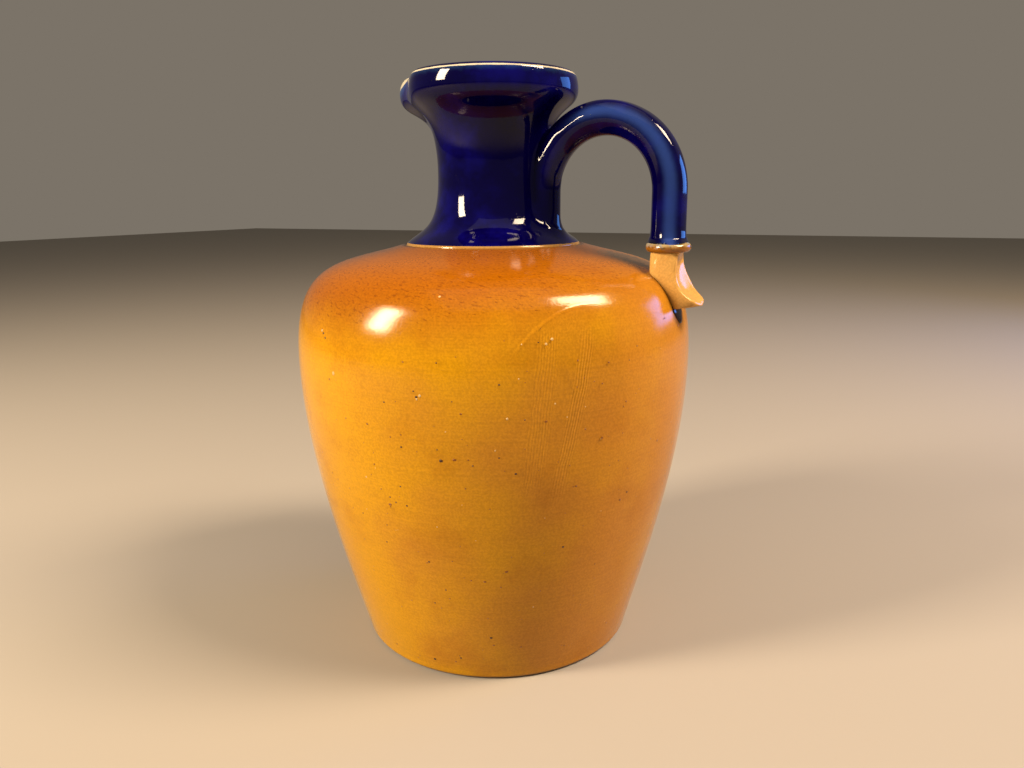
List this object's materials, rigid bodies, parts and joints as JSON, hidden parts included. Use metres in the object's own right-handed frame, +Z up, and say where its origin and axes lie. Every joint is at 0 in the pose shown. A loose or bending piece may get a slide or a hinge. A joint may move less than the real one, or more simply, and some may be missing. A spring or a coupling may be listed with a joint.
{
  "type": "stoneware jug",
  "caption": "Salt-glazed stoneware jug: shouldered tan body, blue neck with flared collar and pulled spout, and a blue loop handle ending in a tan tail on the shoulder.",
  "frame": {"origin": "centre of the flat underside, on the surface the jug stands on", "axes": "+Z up along the jug's axis, +X towards the handle, -X towards the spout"},
  "size_m": [0.139, 0.1332, 0.19],
  "materials": {
    "salt_glazed_stoneware": "gloss"
  },
  "bodies": {
    "root": {"jug": "salt_glazed_stoneware"}
  },
  "joints": []
}
